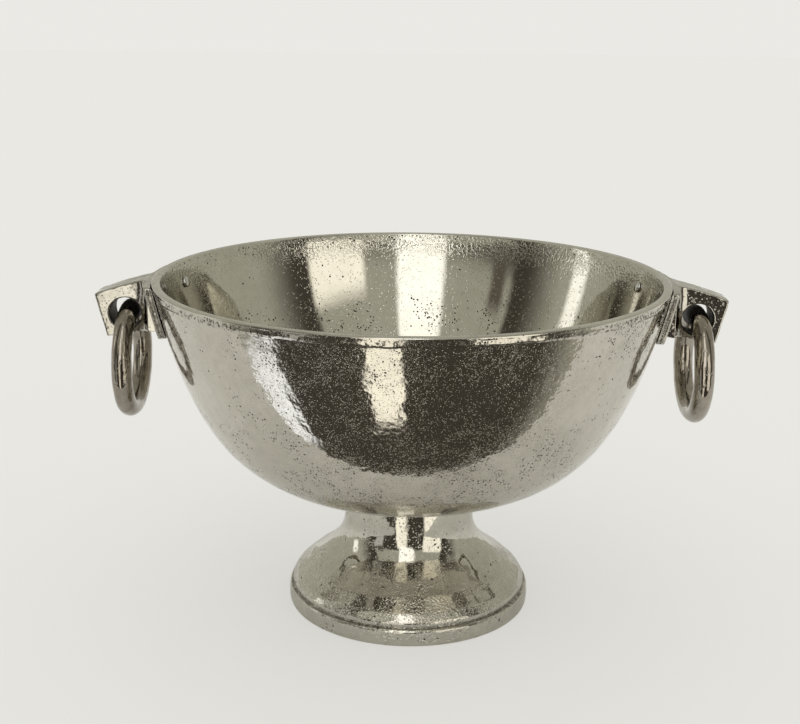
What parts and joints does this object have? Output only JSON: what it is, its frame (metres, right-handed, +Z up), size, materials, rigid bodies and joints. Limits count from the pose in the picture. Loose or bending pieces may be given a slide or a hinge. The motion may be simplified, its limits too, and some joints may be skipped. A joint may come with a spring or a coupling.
{
  "type": "footed champagne bowl",
  "caption": "Deep round metal champagne bowl on a hollow pedestal foot, with a pierced side bracket and a loose swinging ring handle on either side.",
  "frame": {"origin": "centre of the circle that the foot stands on", "axes": "+Z up through the bowl's axis, +X out through the right-hand bracket, -Y towards the viewer"},
  "size_m": [0.491, 0.3994, 0.264],
  "materials": {
    "bowl_polish": "nickel-plated cast aluminium, polished inside and grainy outside",
    "foot_grain": "nickel-plated cast aluminium, strongly grained",
    "bracket_satin": "nickel-plated cast aluminium, hand-filed satin",
    "ring_dulled": "nickel-plated bar, dulled warm grey",
    "fastener_steel": "plated steel"
  },
  "bodies": {
    "vessel": {"bowl": "bowl_polish", "foot": "foot_grain", "bracket_left": "bracket_satin", "bracket_right": "bracket_satin", "screw_left_front": "fastener_steel", "screw_left_back": "fastener_steel", "screw_right_front": "fastener_steel", "screw_right_back": "fastener_steel", "foot_stud": "fastener_steel", "foot_clamp_washer": "fastener_steel", "foot_spring_washer": "fastener_steel", "foot_nut": "fastener_steel"},
    "left_handle": {"ring_left": "ring_dulled"},
    "right_handle": {"ring_right": "ring_dulled"}
  },
  "joints": [
    {"name": "left_ring_swing", "type": "hinge", "parent": "vessel", "child": "left_handle", "pos_m": [-0.2202, 0, 0.2341], "axis": [0, 1, 0], "range_deg": [-31, 199]},
    {"name": "right_ring_swing", "type": "hinge", "parent": "vessel", "child": "right_handle", "pos_m": [0.223, 0, 0.2341], "axis": [0, -1, 0], "range_deg": [-32, 199]}
  ]
}
